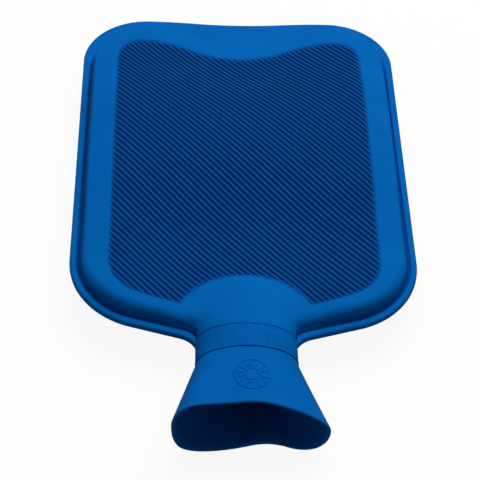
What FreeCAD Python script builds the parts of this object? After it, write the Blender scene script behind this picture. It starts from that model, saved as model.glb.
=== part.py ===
"""Rubber hot water bottle with a screw stopper, lying on its back.

The bottle lies along Y with its mouth towards -Y and its ribbed front panel up. The origin is the
bottom centre of its box. Heights in the helper functions are measured from the moulding seam, the
level mid-plane of the flat rim.
"""
import FreeCAD
import Part
import math
import os

Vector = FreeCAD.Vector

# Overall size
LENGTH = 334.0
BODY_WIDTH = 200.0
SEAM_HEIGHT = 20.0

# Flat rim round the two panels, with a groove at the foot of the front panel's wall
RIM_WIDTH = 6.5
RIM_HALF_THICKNESS = 2.8
RIM_EDGE_BEVEL = 1.4
GROOVE_WIDTH = 1.4
GROOVE_DEPTH = 1.1
GROOVE_OVERLAP = 1.0
FAR_CORNER_RADIUS = 39.5
NEAR_CORNER_RADIUS = 50.0
FAR_EDGE_DIP = 1.8

# Tab at the far end and the shoulders at the near end
TAB_LENGTH = 13.0
TAB_DIP = 15.3
TAB_DIP_HALF_WIDTH = 62.5
SHOULDER_SLOPE = 16.3
SHOULDER_FILLET = 14.0
SHOULDER_END_HALF_WIDTH = 26.0

# Panels: a wall that rolls over into a crown along the bottle. The back's border and the chamber's
# are bevelled.
WALL = 2.2
PANEL_EDGE_HEIGHT = 10.0
PANEL_ROLL_RADIUS = 8.0
PANEL_WALL_HEIGHT = 1.0
BACK_BEVEL = 5.5
CHAMBER_BEVEL = 4.0
CROWN_FROM_FAR_EDGE = 117.0
FRONT_CROWN_RISE = 10.0
NEAR_CROWN_REACH = 112.0
FAR_CROWN_REACH = 86.0
BACK_FLAT_FROM_FAR_EDGE = 78.0
BACK_FLAT_LENGTH = 142.0
BACK_NEAR_REACH = 32.0
BACK_FAR_REACH = 46.0

# Diagonal ribs on the front panel
RIB_PITCH = 3.05
RIB_WIDTH = 1.1
RIB_HEIGHT = 1.0
RIB_ANGLE = -48.4
RIB_SIDE_MARGIN = 16.5
RIB_FAR_MARGIN = 19.5
RIB_FAR_CORNER_RADIUS = 17.0
RIB_NEAR_CORNER_RADIUS = 25.0
RIB_SHOULDER_MARGIN = 11.6
RIB_ARCH_RADIUS = 43.0
RIB_ARCH_GAP = 42.4

# Neck, grained band and funnel
FUNNEL_LENGTH = 42.0
BAND_LENGTH = 16.5
BAND_STEP = 0.6
NECK_TO_SIDES = 58.6
NECK_HALF_WIDTH = 26.8
NECK_HALF_HEIGHT = 16.7
NECK_AXIS_RISE = 2.0
NECK_BLEND_LENGTH = 46.0
NECK_BLEND_HALF_WIDTH = 32.0
NECK_BLEND_SINK = 1.0
MOUTH_HALF_WIDTH = 42.3
MOUTH_HALF_HEIGHT = 22.0
MOUTH_SQUARENESS = 2.6
MOUTH_SKEW = 3.0
MOUTH_DENT = 8.5
MOUTH_DENT_OFFSET = 8.0
MOUTH_DENT_SPREAD = 20.5
FLARE_POWER = 1.2
LIP_WALL = 1.8

# Threaded bush moulded into the neck
BUSH_RADIUS = 14.0
BUSH_LENGTH = 23.0
BUSH_RECESS = 2.0
BUSH_GROOVE_DEPTH = 1.2
BUSH_GROOVE_LENGTH = 4.0
BUSH_GROOVE_COUNT = 1
BUSH_RETAINING_LIP = 0.6
STEM_CHAMFER = 0.8
MOULDED_IN_GAP = 0.05
THROAT_RADIUS = 11.0
THROAT_LENGTH = 9.0

# Stopper and its sealing washer
THREAD_RADIUS = 10.0
THREAD_CLEARANCE = 0.1
THREAD_PITCH = 4.0
THREAD_TURNS = 3
STEM_WALL = 3.0
STEM_FLOOR = 3.0
SEAT_GAP = 0.15
WASHER_THICKNESS = 2.6
WASHER_HALF_GAP = 0.2
WASHER_RADIUS = 12.6
STOPPER_FLANGE_RADIUS = 13.0
STOPPER_FLANGE_THICKNESS = 3.0
HANDLE_WIDTH = 24.0
HANDLE_THICKNESS = 7.0
HANDLE_LENGTH = 14.0
HANDLE_CORNER_RADIUS = 6.0
HANDLE_EDGE_BEVEL = 1.2
HANDLE_SINK = 1.0

# Places worked out from the sizes
FAR_Y = LENGTH / 2
MOUTH_Y = -LENGTH / 2
BAND_END_Y = MOUTH_Y + FUNNEL_LENGTH
BAND_START_Y = BAND_END_Y + BAND_LENGTH
SIDES_START_Y = BAND_START_Y + NECK_TO_SIDES
CROWN_Y = FAR_Y - CROWN_FROM_FAR_EDGE
BUSH_FACE_Y = BAND_END_Y - BUSH_RECESS
BUSH_END_Y = BUSH_FACE_Y + BUSH_LENGTH
CHAMBER_START_Y = BUSH_END_Y + THROAT_LENGTH
NECK_AXIS_Z = SEAM_HEIGHT + NECK_AXIS_RISE
THREADED_LENGTH = THREAD_PITCH * THREAD_TURNS
RING_POINTS = 48
BLEND_RINGS = 4
BLEND_POWER = 1.5
FUNNEL_RINGS = 3
WAVE_POWER = 2.0

# Cutting solids reach past the bottle by these sizes
OVERRUN = 5.0
TOOL_WIDTH = 2 * BODY_WIDTH
TOOL_HEIGHT = 2 * SEAM_HEIGHT

# How near an edge lies to a border to count as part of it
BORDER_TOLERANCE = 0.05


def smooth(fraction):
    """Rise from 0 to 1 with level ends, for a fraction from 0 to 1."""
    clipped = min(max(fraction, 0.0), 1.0)
    return 0.5 - 0.5 * math.cos(math.pi * clipped)


def arc(centre_x, centre_y, radius, start_degrees, end_degrees):
    """Level arc edge about a plan centre."""
    angles = (start_degrees, (start_degrees + end_degrees) / 2, end_degrees)
    points = [Vector(centre_x + radius * math.cos(math.radians(angle)),
                     centre_y + radius * math.sin(math.radians(angle)), 0) for angle in angles]
    return Part.Arc(*points).toShape()


def line(x_1, y_1, x_2, y_2):
    """Level straight edge."""
    return Part.LineSegment(Vector(x_1, y_1, 0), Vector(x_2, y_2, 0)).toShape()


def ogee(start, end, ahead):
    """Two equal arcs from one point to another that leave and arrive in the same direction."""
    span = end - start
    run = span.dot(ahead)
    aside = span - ahead * run
    turn = 2 * math.atan2(aside.Length, run)
    radius = run / (2 * math.sin(turn))
    aside.normalize()

    def along(angle):
        return ahead * (radius * math.sin(angle)) + aside * (radius * (1 - math.cos(angle)))

    middle = start + along(turn)
    first = Part.Arc(start, start + along(turn / 2), middle).toShape()
    second = Part.Arc(middle, end - along(turn / 2), end).toShape()
    return [first, second]


def dipped_edge(half_length, edge_y, dip, dip_half_width):
    """Right-hand half of a level curve across the bottle that dips towards the mouth in its middle."""
    half_dip = min(half_length, dip_half_width)
    edges = ogee(Vector(half_dip, edge_y, 0), Vector(0, edge_y - dip, 0), Vector(-1, 0, 0))
    if half_length - half_dip > BORDER_TOLERANCE:
        edges.append(line(half_length, edge_y, half_dip, edge_y))
    return edges


def mirrored(edges):
    """The edges and their mirror images across the bottle's middle."""
    return edges + [edge.mirror(Vector(0, 0, 0), Vector(1, 0, 0)) for edge in edges]


def face_of(edges):
    """Plane face inside a closed set of level edges."""
    wire = Part.Wire(Part.__sortEdges__(edges))
    return Part.Face(wire)


def side_edges(inset, throat_y=None):
    """Right-hand near corner and shoulder, to the neck's fillet or straight across at the throat.

    Args:
        inset: Distance inside the rim's outer edge.
        throat_y: Where the shoulder stops short of the neck, or None to run into the neck.
    """
    slope = math.radians(SHOULDER_SLOPE)
    normal_x = math.sin(slope)
    normal_y = -math.cos(slope)
    corner_x = BODY_WIDTH / 2 - NEAR_CORNER_RADIUS
    radius = NEAR_CORNER_RADIUS - inset
    start_x = corner_x + radius * normal_x
    start_y = SIDES_START_Y + radius * normal_y
    edges = [arc(corner_x, SIDES_START_Y, radius, 0, SHOULDER_SLOPE - 90)]
    if throat_y is None:
        outer_start_x = corner_x + NEAR_CORNER_RADIUS * normal_x
        outer_start_y = SIDES_START_Y + NEAR_CORNER_RADIUS * normal_y
        fillet_x = SHOULDER_END_HALF_WIDTH + SHOULDER_FILLET
        fillet_y = outer_start_y - (SHOULDER_FILLET - (fillet_x - outer_start_x) * normal_x) / -normal_y
        fillet_radius = SHOULDER_FILLET + inset
        edges.append(line(start_x, start_y, fillet_x - fillet_radius * normal_x,
                          fillet_y - fillet_radius * normal_y))
        edges.append(arc(fillet_x, fillet_y, fillet_radius, 90 + SHOULDER_SLOPE, 180))
        edges.append(line(SHOULDER_END_HALF_WIDTH - inset, fillet_y, 0, fillet_y))
    else:
        end_x = start_x - (start_y - throat_y) / math.tan(slope)
        edges.append(line(start_x, start_y, end_x, throat_y))
        edges.append(line(end_x, throat_y, 0, throat_y))
    return edges


def outline(inset, far_inset, far_radius, dip, dip_half_width, throat_y=None):
    """Plan face of the rim or of a panel."""
    half_width = BODY_WIDTH / 2 - inset
    far_y = FAR_Y - far_inset
    corner_x = half_width - far_radius
    corner_y = far_y - far_radius
    right = [arc(corner_x, corner_y, far_radius, 90, 0)]
    right.append(line(half_width, corner_y, half_width, SIDES_START_Y))
    right.extend(side_edges(inset, throat_y))
    right.extend(dipped_edge(corner_x, far_y, dip, dip_half_width))
    return face_of(mirrored(right))


def rim_outline(inset=0.0):
    """Plan face of the flat rim's outer edge."""
    return outline(inset, inset, FAR_CORNER_RADIUS - inset, FAR_EDGE_DIP, BODY_WIDTH)


def panel_outline(inset=0.0, throat_y=None):
    """Plan face of a panel's foot, which leaves the tab free at the far end."""
    radius = FAR_CORNER_RADIUS - RIM_WIDTH - inset
    return outline(RIM_WIDTH + inset, TAB_LENGTH + inset, radius, TAB_DIP, TAB_DIP_HALF_WIDTH, throat_y)


def crown_profile(rise, near_top, far_top, near_reach, far_reach, sign, shift):
    """Edges of a panel's crown along the bottle: level, rising, level, falling and level again.

    Args:
        rise: Height of the crown above the panel's edge.
        near_top: Near end of the level stretch at the top.
        far_top: Far end of that stretch, or the same place where the top is rounded.
        near_reach: Length of the slope towards the mouth.
        far_reach: Length of the slope towards the far end.
        sign: 1 for the front panel above the seam, -1 for the back panel below it.
        shift: Distance added to every height.
    """
    low_z = SEAM_HEIGHT + sign * (PANEL_EDGE_HEIGHT + shift)
    high_z = low_z + sign * rise
    ahead = Vector(0, 1, 0)

    def place(y, z):
        return Vector(-TOOL_WIDTH / 2, y, z)

    near_foot = place(near_top - near_reach, low_z)
    far_foot = place(far_top + far_reach, low_z)
    edges = [Part.makeLine(place(MOUTH_Y, low_z), near_foot)]
    edges.extend(ogee(near_foot, place(near_top, high_z), ahead))
    if far_top > near_top:
        edges.append(Part.makeLine(place(near_top, high_z), place(far_top, high_z)))
    edges.extend(ogee(place(far_top, high_z), far_foot, ahead))
    edges.append(Part.makeLine(far_foot, place(FAR_Y, low_z)))
    return edges


def slab(profile):
    """Solid between the seam and a crown that is straight across the bottle."""
    first = profile[0].Vertexes[0].Point
    last = profile[-1].Vertexes[-1].Point
    near_foot = Vector(first.x, first.y, SEAM_HEIGHT)
    far_foot = Vector(last.x, last.y, SEAM_HEIGHT)
    closing = [Part.makeLine(last, far_foot), Part.makeLine(far_foot, near_foot)]
    closing.append(Part.makeLine(near_foot, first))
    return Part.Face(Part.Wire(profile + closing)).extrude(Vector(TOOL_WIDTH, 0, 0))


def front_profile(shift=0.0):
    """Crown of the front panel."""
    return crown_profile(FRONT_CROWN_RISE, CROWN_Y, CROWN_Y, NEAR_CROWN_REACH, FAR_CROWN_REACH, 1, shift)


def back_profile(shift=0.0):
    """Crown of the back panel, which lies flat on the surface below for a stretch."""
    rise = SEAM_HEIGHT - PANEL_EDGE_HEIGHT
    far_top = FAR_Y - BACK_FLAT_FROM_FAR_EDGE
    near_top = far_top - BACK_FLAT_LENGTH
    return crown_profile(rise, near_top, far_top, BACK_NEAR_REACH, BACK_FAR_REACH, -1, shift)


def over_border(edge, border):
    """Whether an edge of a panel lies over the border of its plan face."""
    return all(Part.Vertex(point.x, point.y, 0).distToShape(border)[0] < BORDER_TOLERANCE
               for point in edge.discretize(3))


def raised_panel(face, profile, sign, bevel=None):
    """Panel that rises from the seam and follows its crown, with a rolled or a bevelled border.

    Args:
        face: Plan face.
        profile: Edges of the crown.
        sign: 1 for the front panel above the seam, -1 for the back panel below it.
        bevel: Size of the bevel along its border, or None for a roll.
    """
    prism = face.translated(Vector(0, 0, SEAM_HEIGHT)).extrude(Vector(0, 0, sign * TOOL_HEIGHT))
    panel = prism.common(slab(profile))
    border = face.OuterWire
    top_edges = []
    for edge in panel.Edges:
        off_seam = all(abs(point.z - SEAM_HEIGHT) > PANEL_WALL_HEIGHT for point in edge.discretize(3))
        if off_seam and over_border(edge, border):
            top_edges.append(edge)
    if bevel is not None:
        return panel.makeChamfer(bevel, top_edges)
    return panel.makeFillet(min(PANEL_ROLL_RADIUS, PANEL_EDGE_HEIGHT - PANEL_WALL_HEIGHT), top_edges)


def ring(y, half_width, half_height, axis_z, squareness=2.0, skew=0.0, dent=0.0):
    """Closed cross-section wire of the neck or funnel, with many short sides.

    Args:
        y: Place along the bottle.
        half_width: Half the section's width.
        half_height: Half the section's height.
        axis_z: Height of the section's middle.
        squareness: Exponent of the section's curve, 2 for an ellipse.
        skew: Rise of the upper left and fall of the upper right.
        dent: Depth of the wave in the lower side.
    """
    points = []
    for index in range(RING_POINTS):
        angle = 2 * math.pi * index / RING_POINTS
        cosine = math.cos(angle)
        sine = math.sin(angle)
        spread = abs(cosine / half_width) ** squareness + abs(sine / half_height) ** squareness
        reach = spread ** (-1 / squareness)
        x = reach * cosine
        z = reach * sine
        if sine > 0:
            z -= skew * sine * math.sin(math.pi * x / half_width)
        else:
            z -= dent * sine * math.exp(-((x - MOUTH_DENT_OFFSET) / MOUTH_DENT_SPREAD) ** 2)
        points.append(Vector(x, y, axis_z + z))
    return Part.makePolygon(points + points[:1])


def neck_blend():
    """Neck from the band into the front and back panels, where it sinks away."""
    rings = []
    for index in range(BLEND_RINGS):
        fraction = index / (BLEND_RINGS - 1)
        sink = fraction ** BLEND_POWER
        top = NECK_AXIS_RISE + NECK_HALF_HEIGHT
        top -= (top - PANEL_EDGE_HEIGHT + NECK_BLEND_SINK) * sink
        bottom = NECK_HALF_HEIGHT - NECK_AXIS_RISE
        bottom -= (bottom - PANEL_EDGE_HEIGHT + NECK_BLEND_SINK) * sink
        half_width = NECK_HALF_WIDTH + (NECK_BLEND_HALF_WIDTH - NECK_HALF_WIDTH) * smooth(fraction)
        rings.append(ring(BAND_START_Y + NECK_BLEND_LENGTH * fraction, half_width, (top + bottom) / 2,
                          SEAM_HEIGHT + (top - bottom) / 2))
    return Part.makeLoft(rings, True, True)


def band():
    """Raised grained band round the neck."""
    start = ring(BAND_START_Y, NECK_HALF_WIDTH + BAND_STEP, NECK_HALF_HEIGHT + BAND_STEP, NECK_AXIS_Z)
    end = ring(BAND_END_Y, NECK_HALF_WIDTH + BAND_STEP, NECK_HALF_HEIGHT + BAND_STEP, NECK_AXIS_Z)
    return Part.makeLoft([start, end], True, True)


def funnel_ring(fraction, wall, extra_x, extra_z, y):
    """Cross-section of the funnel at a fraction of the way from the band to the mouth."""
    flare = fraction ** FLARE_POWER
    closing = (1 - fraction) ** FLARE_POWER
    half_width = NECK_HALF_WIDTH + (MOUTH_HALF_WIDTH - NECK_HALF_WIDTH) * flare - wall - extra_x * closing
    half_height = NECK_HALF_HEIGHT + (MOUTH_HALF_HEIGHT - NECK_HALF_HEIGHT) * flare - wall - extra_z * closing
    squareness = 2 + (MOUTH_SQUARENESS - 2) * fraction
    wave = fraction ** WAVE_POWER
    return ring(y, half_width, half_height, NECK_AXIS_Z, squareness, MOUTH_SKEW * wave, MOUTH_DENT * wave)


def funnel():
    """Outside of the flared funnel."""
    rings = []
    for index in range(FUNNEL_RINGS):
        fraction = index / (FUNNEL_RINGS - 1)
        rings.append(funnel_ring(fraction, 0, 0, 0, BAND_END_Y - FUNNEL_LENGTH * fraction))
    return Part.makeLoft(rings, True, True)


def funnel_hollow():
    """Inside of the funnel, from the bush's face out past the mouth."""
    start_radius = BUSH_RADIUS - BUSH_RETAINING_LIP
    extra_x = NECK_HALF_WIDTH - LIP_WALL - start_radius
    extra_z = NECK_HALF_HEIGHT - LIP_WALL - start_radius
    depth = BUSH_FACE_Y - MOUTH_Y
    rings = []
    for index in range(FUNNEL_RINGS):
        fraction = index / (FUNNEL_RINGS - 1)
        rings.append(funnel_ring(fraction, LIP_WALL, extra_x, extra_z, BUSH_FACE_Y - depth * fraction))
    rings.append(funnel_ring(1.0, LIP_WALL, 0, 0, MOUTH_Y - OVERRUN))
    return Part.makeLoft(rings, True, True)


def along_neck(radius, from_y, to_y):
    """Cylinder on the neck's axis."""
    return Part.makeCylinder(radius, to_y - from_y, Vector(0, from_y, NECK_AXIS_Z), Vector(0, 1, 0))


def turned(profile):
    """Solid of revolution about the neck's axis from points of (radius, place along the neck)."""
    points = [Vector(radius, y, NECK_AXIS_Z) for radius, y in profile]
    face = Part.Face(Part.makePolygon(points + points[:1]))
    return face.revolve(Vector(0, 0, NECK_AXIS_Z), Vector(0, 1, 0), 360)


def bush_outside(gap):
    """Outside of the bush, with the grooves that the rubber grips."""
    shape = along_neck(BUSH_RADIUS + gap, BUSH_FACE_Y - gap, BUSH_END_Y + gap)
    land = (BUSH_LENGTH - BUSH_GROOVE_COUNT * BUSH_GROOVE_LENGTH) / (BUSH_GROOVE_COUNT + 1)
    for index in range(BUSH_GROOVE_COUNT):
        start = BUSH_FACE_Y + land + index * (land + BUSH_GROOVE_LENGTH) + gap
        end = start + BUSH_GROOVE_LENGTH - 2 * gap
        groove = along_neck(BUSH_RADIUS + OVERRUN, start, end)
        shape = shape.cut(groove.cut(along_neck(BUSH_RADIUS - BUSH_GROOVE_DEPTH + gap, start, end)))
    return shape


def rim():
    """Flat rim with bevelled edges and a groove at the foot of the front panel's wall."""
    plate = rim_outline().translated(Vector(0, 0, SEAM_HEIGHT - RIM_HALF_THICKNESS))
    plate = plate.extrude(Vector(0, 0, 2 * RIM_HALF_THICKNESS))
    border = rim_outline().OuterWire
    level = [edge for edge in plate.Edges
             if over_border(edge, border) and edge.BoundBox.ZLength < BORDER_TOLERANCE]
    plate = plate.makeChamfer(RIM_EDGE_BEVEL, level)
    groove = panel_outline(-GROOVE_WIDTH).cut(panel_outline(GROOVE_OVERLAP))
    groove = groove.translated(Vector(0, 0, SEAM_HEIGHT + RIM_HALF_THICKNESS - GROOVE_DEPTH))
    groove = groove.extrude(Vector(0, 0, OVERRUN))
    far_end = FAR_Y - FAR_CORNER_RADIUS
    stretch = Part.makeBox(TOOL_WIDTH, far_end - MOUTH_Y, TOOL_HEIGHT, Vector(-TOOL_WIDTH / 2, MOUTH_Y, 0))
    return plate.cut(groove.common(stretch))


def rib_field():
    """Plan face of the ribbed field: dipped at the far end, beside the shoulders and arched at the neck."""
    half_width = BODY_WIDTH / 2 - RIM_WIDTH - RIB_SIDE_MARGIN
    far_y = FAR_Y - TAB_LENGTH - RIB_FAR_MARGIN
    far_x = half_width - RIB_FAR_CORNER_RADIUS
    slope = math.radians(SHOULDER_SLOPE)
    corner_x = BODY_WIDTH / 2 - NEAR_CORNER_RADIUS
    foot_level = corner_x * math.sin(slope) - SIDES_START_Y * math.cos(slope) + NEAR_CORNER_RADIUS - RIM_WIDTH
    level = foot_level - RIB_SHOULDER_MARGIN
    radius = RIB_NEAR_CORNER_RADIUS
    near_x = half_width - radius
    near_y = (near_x * math.sin(slope) - level + radius) / math.cos(slope)
    arch_y = BAND_START_Y + RIB_ARCH_GAP - RIB_ARCH_RADIUS
    arch_angle = slope - math.asin((level + arch_y * math.cos(slope)) / RIB_ARCH_RADIUS)
    right = [arc(far_x, far_y - RIB_FAR_CORNER_RADIUS, RIB_FAR_CORNER_RADIUS, 90, 0)]
    right.append(line(half_width, far_y - RIB_FAR_CORNER_RADIUS, half_width, near_y))
    right.append(arc(near_x, near_y, radius, 0, SHOULDER_SLOPE - 90))
    arch_end = (RIB_ARCH_RADIUS * math.cos(arch_angle), arch_y + RIB_ARCH_RADIUS * math.sin(arch_angle))
    right.append(line(near_x + radius * math.sin(slope), near_y - radius * math.cos(slope), *arch_end))
    right.append(arc(0, arch_y, RIB_ARCH_RADIUS, math.degrees(arch_angle), 90))
    right.extend(dipped_edge(far_x, far_y, TAB_DIP, TAB_DIP_HALF_WIDTH))
    return face_of(mirrored(right))


def ribs():
    """Diagonal ribs that stand on the crown of the front panel, as plates that reach down into it."""
    field = rib_field()
    centre_y = field.BoundBox.Center.y
    length = field.BoundBox.DiagonalLength
    count = int(length / RIB_PITCH)
    bottom = SEAM_HEIGHT + PANEL_EDGE_HEIGHT - WALL / 2
    plates = []
    for index in range(count):
        offset = (index - (count - 1) / 2) * RIB_PITCH
        corner = Vector(-length / 2, offset - RIB_WIDTH / 2, bottom)
        plate = Part.makeBox(length, RIB_WIDTH, TOOL_HEIGHT, corner)
        plate.rotate(Vector(0, 0, 0), Vector(0, 0, 1), RIB_ANGLE)
        plate.translate(Vector(0, centre_y, 0))
        plates.append(plate)
    prism = field.extrude(Vector(0, 0, SEAM_HEIGHT + TOOL_HEIGHT))
    envelope = prism.common(slab(front_profile(RIB_HEIGHT)))
    return Part.makeCompound(plates).common(envelope).Solids


def bottle_body():
    """The one-piece rubber moulding: rim, panels, ribs, neck, band and funnel, hollow inside."""
    front = raised_panel(panel_outline(), front_profile(), 1)
    back = raised_panel(panel_outline(), back_profile(), -1, BACK_BEVEL)
    outside = front.fuse([back, rim(), neck_blend(), band(), funnel()])
    outside = outside.fuse(ribs())
    chamber = panel_outline(WALL, CHAMBER_START_Y)
    front_hollow = raised_panel(chamber, front_profile(-WALL), 1, CHAMBER_BEVEL)
    back_hollow = raised_panel(chamber, back_profile(-WALL), -1, CHAMBER_BEVEL)
    throat = along_neck(THROAT_RADIUS, BUSH_END_Y - OVERRUN, CHAMBER_START_Y + OVERRUN)
    hollow = front_hollow.fuse([back_hollow, throat, bush_outside(MOULDED_IN_GAP), funnel_hollow()])
    return outside.cut(hollow)


def threaded_bush():
    """Bush with a bore for the stopper's thread and a flat face for the washer."""
    bore = THREAD_RADIUS + THREAD_CLEARANCE
    hole = along_neck(bore, BUSH_FACE_Y - OVERRUN, BUSH_END_Y + OVERRUN)
    return bush_outside(0.0).cut(hole)


def stopper_washer():
    """Rubber sealing ring between the bush's face and the stopper's flange."""
    start = BUSH_FACE_Y - SEAT_GAP - WASHER_THICKNESS
    end = BUSH_FACE_Y - SEAT_GAP
    hole = along_neck(THREAD_RADIUS + WASHER_HALF_GAP, start - OVERRUN, end + OVERRUN)
    return along_neck(WASHER_RADIUS, start, end).cut(hole)


def stopper():
    """Stopper: cored threaded stem, flange over the washer and a flat handle to turn."""
    flange_face = BUSH_FACE_Y - 2 * SEAT_GAP - WASHER_THICKNESS
    flange_back = flange_face - STOPPER_FLANGE_THICKNESS
    tip = BUSH_FACE_Y + THREADED_LENGTH
    core = THREAD_RADIUS - STEM_WALL
    profile = [(0, flange_back), (STOPPER_FLANGE_RADIUS, flange_back), (STOPPER_FLANGE_RADIUS, flange_face),
               (THREAD_RADIUS, flange_face), (THREAD_RADIUS, tip - STEM_CHAMFER),
               (THREAD_RADIUS - STEM_CHAMFER, tip), (core, tip), (core, flange_back + STEM_FLOOR),
               (0, flange_back + STEM_FLOOR)]
    body = turned(profile)
    bottom = NECK_AXIS_Z - HANDLE_THICKNESS / 2
    handle = Part.makeBox(HANDLE_WIDTH, HANDLE_LENGTH + HANDLE_SINK, HANDLE_THICKNESS,
                          Vector(-HANDLE_WIDTH / 2, flange_back - HANDLE_LENGTH, bottom))
    corners = [edge for edge in handle.Edges
               if edge.BoundBox.ZLength > HANDLE_THICKNESS / 2 and edge.BoundBox.Center.y < flange_back]
    handle = handle.makeFillet(HANDLE_CORNER_RADIUS, corners)
    border = [edge for edge in handle.Edges if edge.BoundBox.ZLength < BORDER_TOLERANCE
              and edge.BoundBox.YMin < flange_back - BORDER_TOLERANCE]
    handle = handle.makeChamfer(HANDLE_EDGE_BEVEL, border)
    return body.fuse(handle)


def main():
    """Build each piece and write it to its own file."""
    os.makedirs("parts", exist_ok=True)
    pieces = {
        "bottle_body": bottle_body(),
        "threaded_bush": threaded_bush(),
        "stopper_washer": stopper_washer(),
        "stopper": stopper(),
    }
    for name, shape in pieces.items():
        shape.exportStep("parts/" + name + ".step")
        box = shape.BoundBox
        corners = (box.XMin, box.YMin, box.ZMin, box.XMax, box.YMax, box.ZMax)
        print(name, "solids", len(shape.Solids), "faces", len(shape.Faces), "valid", shape.isValid(),
              "volume", round(shape.Volume), "box", [round(value, 2) for value in corners])


main()
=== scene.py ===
"""Dresses the rubber hot water bottle: skin, ribs, date wheel, finishes, light and camera.

Lengths in the classes are in millimetres in the row's frame, and become metres in the meshes.
Heights named above the seam are measured from the moulding seam, the level middle of the rim.
"""
import logging
import math
from dataclasses import dataclass, field
from enum import Enum
from typing import Any, Sequence

import bmesh
import bpy
import numpy as np
from mathutils import Matrix, Vector


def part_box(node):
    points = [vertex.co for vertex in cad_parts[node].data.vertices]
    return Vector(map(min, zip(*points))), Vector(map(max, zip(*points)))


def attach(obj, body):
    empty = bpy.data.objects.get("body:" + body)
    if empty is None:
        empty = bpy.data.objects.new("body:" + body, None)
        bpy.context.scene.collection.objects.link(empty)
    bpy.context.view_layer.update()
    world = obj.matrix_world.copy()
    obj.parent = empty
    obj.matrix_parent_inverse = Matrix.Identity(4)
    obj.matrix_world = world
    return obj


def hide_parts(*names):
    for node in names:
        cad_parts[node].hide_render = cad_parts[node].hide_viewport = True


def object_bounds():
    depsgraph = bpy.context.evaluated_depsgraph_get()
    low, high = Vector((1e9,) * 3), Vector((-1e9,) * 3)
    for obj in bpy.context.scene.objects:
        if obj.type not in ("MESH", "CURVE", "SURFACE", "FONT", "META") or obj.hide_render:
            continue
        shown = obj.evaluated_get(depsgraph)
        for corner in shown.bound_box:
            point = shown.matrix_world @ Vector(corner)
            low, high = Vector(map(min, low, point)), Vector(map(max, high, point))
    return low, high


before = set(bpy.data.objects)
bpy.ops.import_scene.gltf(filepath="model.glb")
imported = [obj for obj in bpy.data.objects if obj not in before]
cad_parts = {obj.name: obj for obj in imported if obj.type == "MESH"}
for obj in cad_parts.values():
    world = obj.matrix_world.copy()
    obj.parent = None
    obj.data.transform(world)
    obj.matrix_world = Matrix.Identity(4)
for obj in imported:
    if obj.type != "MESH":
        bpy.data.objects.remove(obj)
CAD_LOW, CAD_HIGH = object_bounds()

Array = np.ndarray
Colour = tuple[float, float, float]
LOG = logging.getLogger("hot_water_bottle")
MM = 0.001
MERGE_DISTANCE = 2e-6
WHITE = (1.0, 1.0, 1.0, 1.0)


def millimetres(metres: float) -> float:
    """A size or place of the frame in millimetres, to a hundredth."""
    return round(metres / MM, 2)


# Driving sizes in millimetres. The outer sizes, the neck's axis and the bush are the frame's.
BUSH_LOW, BUSH_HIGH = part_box("threaded_bush")
HALF_WIDTH = millimetres(CAD_HIGH[0])
FAR_Y = millimetres(CAD_HIGH[1])
MOUTH_Y = millimetres(CAD_LOW[1])
BUSH_FACE_Y = millimetres(BUSH_LOW[1])
BUSH_RADIUS = millimetres((BUSH_HIGH[2] - BUSH_LOW[2]) / 2)
NECK_AXIS_Z = millimetres((BUSH_HIGH[2] + BUSH_LOW[2]) / 2)
SEAM_Z = 20.0
NECK_AXIS = NECK_AXIS_Z - SEAM_Z
NECK_START_Y = -108.5
NECK_HALF_WIDTH = 27.5
NECK_HALF_HEIGHT = 16.7
SHOULDER_SLOPE = 16.3
RIM_HEIGHT = 2.8


class Side(Enum):
    """The two panels of the bottle."""

    FRONT = 1
    BACK = -1


def smooth(value: Array) -> Array:
    """Rise from 0 to 1 with level ends.

    Args:
        value: Fractions, clipped to 0 to 1.

    Returns:
        The eased fractions.
    """
    clipped = np.clip(value, 0.0, 1.0)
    return clipped * clipped * (3.0 - 2.0 * clipped)


def two_arcs(value: Array) -> Array:
    """Rise from 0 to 1 along two equal arcs with level ends.

    Args:
        value: Fractions, clipped to 0 to 1.

    Returns:
        The heights.
    """
    clipped = np.clip(value, 0.0, 1.0)
    return np.where(clipped < 0.5, 2.0 * clipped ** 2, 1.0 - 2.0 * (1.0 - clipped) ** 2)


def soft_max(first: Array, second: Array, radius: Array) -> Array:
    """Larger of two heights with the crease between them rounded.

    Args:
        first: Heights of the first surface.
        second: Heights of the second surface.
        radius: Difference in height below which the two blend.

    Returns:
        The blended heights.
    """
    reach = np.maximum(radius, 1e-6)
    overlap = np.maximum(reach - np.abs(first - second), 0.0) / reach
    return np.maximum(first, second) + overlap ** 2 * reach / 4.0


def arc_points(centre: Sequence[float], radius: float, start: float, end: float, count: int) -> Array:
    """Points on a level arc, without its first point.

    Args:
        centre: Plan centre.
        radius: Radius.
        start: Start angle in degrees.
        end: End angle in degrees.
        count: Number of points.

    Returns:
        Array of count by 2.
    """
    angles = np.radians(np.linspace(start, end, count + 1)[1:])
    return np.stack([centre[0] + radius * np.cos(angles), centre[1] + radius * np.sin(angles)], 1)


def line_points(start: Sequence[float], end: Sequence[float], count: int) -> Array:
    """Points on a level line, without its first point.

    Args:
        start: First plan point.
        end: Last plan point.
        count: Number of points.

    Returns:
        Array of count by 2.
    """
    share = np.linspace(0.0, 1.0, count + 1)[1:, None]
    return np.asarray(start) * (1.0 - share) + np.asarray(end) * share


def distance_to(points: Array, polyline: Array) -> Array:
    """Shortest plan distance from points to an open polyline.

    Args:
        points: Plan points.
        polyline: Corners of the polyline.

    Returns:
        One distance for each point.
    """
    best = np.full(len(points), np.inf)
    for start, end in zip(polyline[:-1], polyline[1:]):
        along = end - start
        share = np.clip((points - start) @ along / max(along @ along, 1e-12), 0.0, 1.0)
        best = np.minimum(best, np.hypot(*(points - start - share[:, None] * along).T))
    return best


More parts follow.
